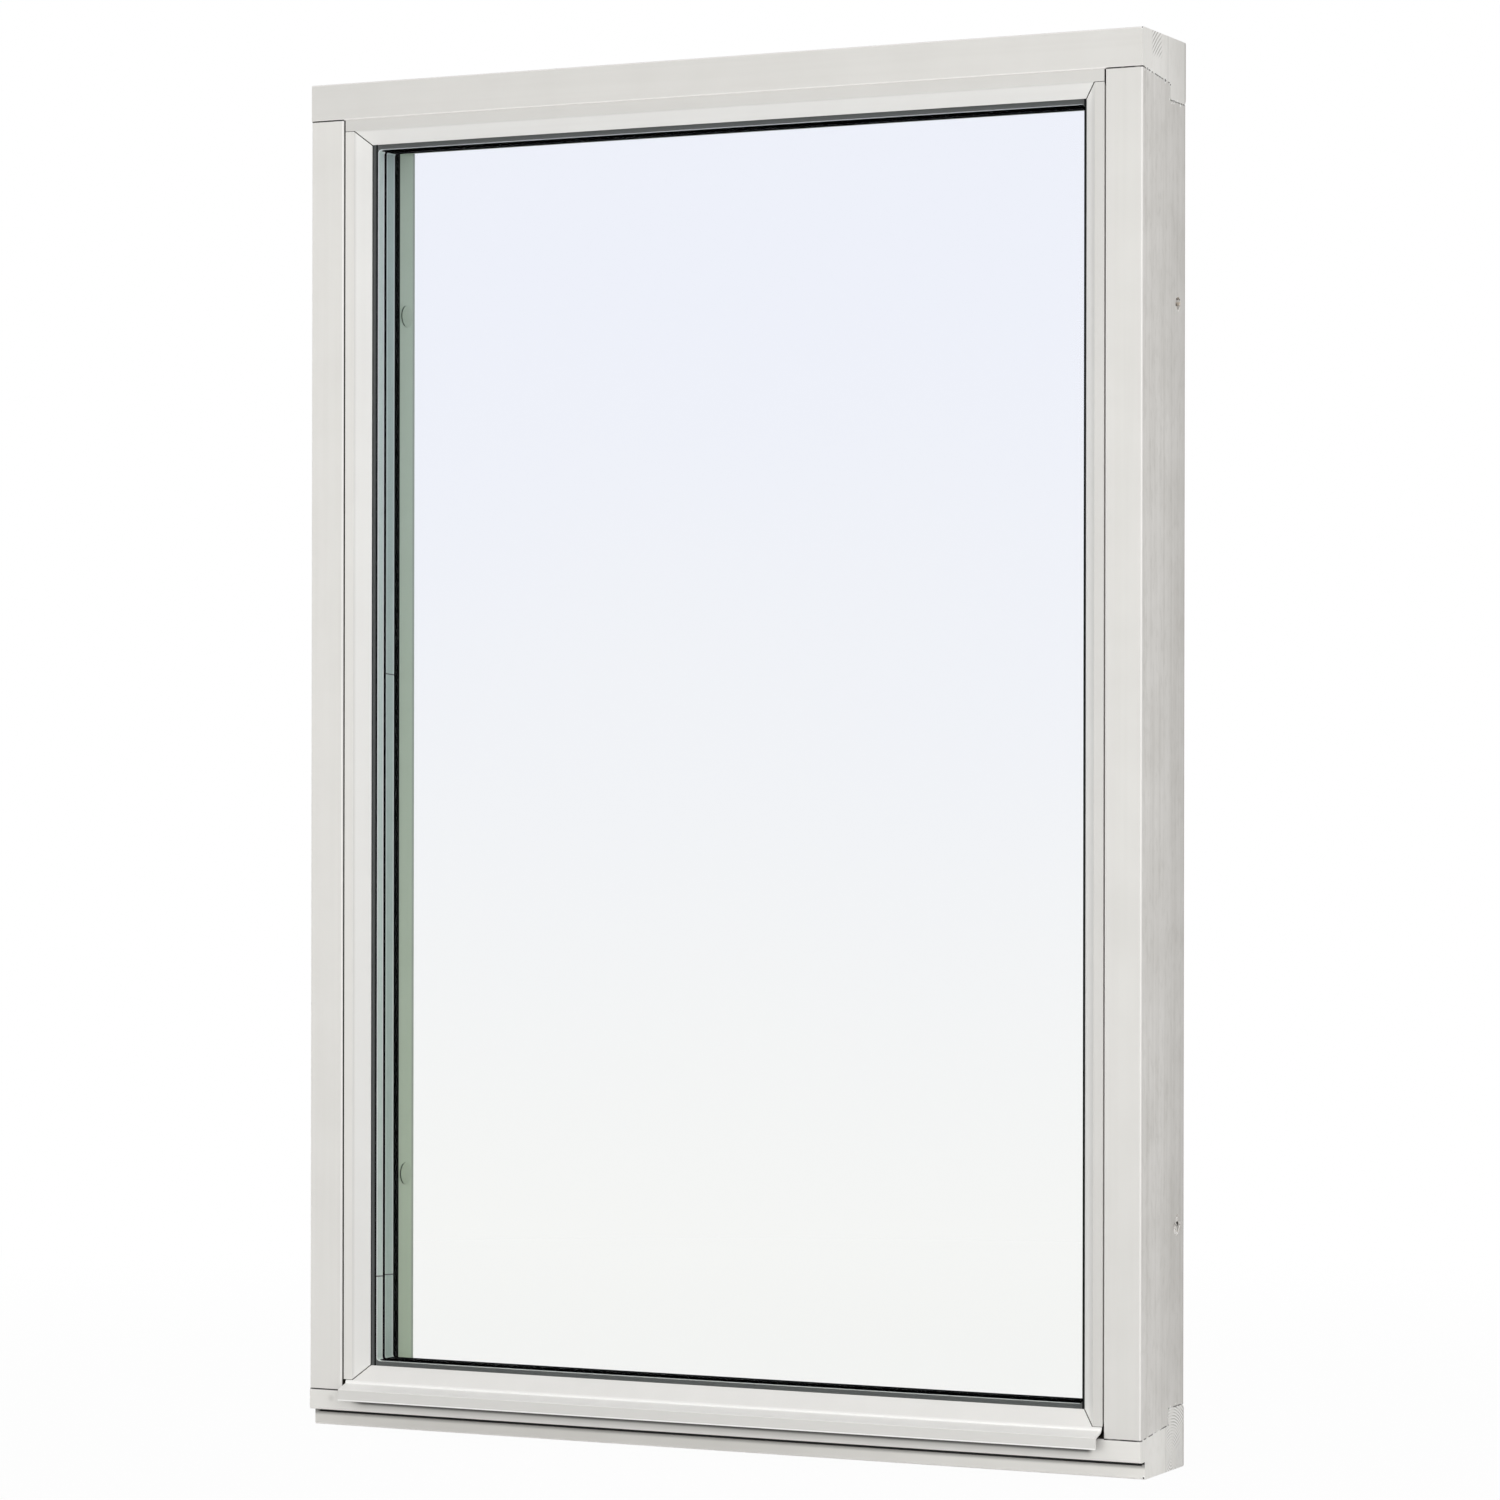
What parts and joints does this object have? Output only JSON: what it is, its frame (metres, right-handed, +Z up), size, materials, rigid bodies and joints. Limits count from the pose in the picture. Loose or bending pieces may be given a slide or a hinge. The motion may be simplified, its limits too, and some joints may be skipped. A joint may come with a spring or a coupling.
{
  "type": "fixed picture window",
  "caption": "White painted timber window with a fixed sealed glass unit held by bevelled glazing beads, a metal drip bead on the sill and capped fixing holes in the jambs.",
  "frame": {"origin": "on the surface the sill stands on, under the centre of the overall box", "axes": "+X along the width, to the right when the weather side is looked at; -Y is the weather side; +Z is up"},
  "size_m": [0.98, 0.1414, 1.48],
  "materials": {
    "frame_timber": "white paint on laminated softwood, satin",
    "bead_timber": "white paint on softwood, satin",
    "sill_bead_metal": "white powder coat on extruded aluminium",
    "pane_glass": "clear float glass",
    "spacer_bar": "grey bent spacer bar",
    "edge_sealant": "black sealant",
    "glazing_tape": "dark grey foam tape",
    "lip_gasket": "black rubber strip",
    "setting_block": "dark moulded plastic",
    "fixing_cap": "white moulded plastic"
  },
  "bodies": {
    "root": {"head": "frame_timber", "sill": "frame_timber", "left_jamb": "frame_timber", "right_jamb": "frame_timber", "head_bead": "bead_timber", "left_bead": "bead_timber", "right_bead": "bead_timber", "sill_bead": "sill_bead_metal", "outer_pane": "pane_glass", "middle_pane": "pane_glass", "inner_pane": "pane_glass", "outer_spacer": "spacer_bar", "inner_spacer": "spacer_bar", "outer_edge_seal": "edge_sealant", "inner_edge_seal": "edge_sealant", "head_tape": "glazing_tape", "sill_tape": "glazing_tape", "left_tape": "glazing_tape", "right_tape": "glazing_tape", "head_gasket": "lip_gasket", "sill_gasket": "lip_gasket", "left_gasket": "lip_gasket", "right_gasket": "lip_gasket", "left_setting_block": "setting_block", "right_setting_block": "setting_block", "left_upper_cap": "fixing_cap", "left_lower_cap": "fixing_cap", "right_upper_cap": "fixing_cap", "right_lower_cap": "fixing_cap"}
  },
  "joints": []
}
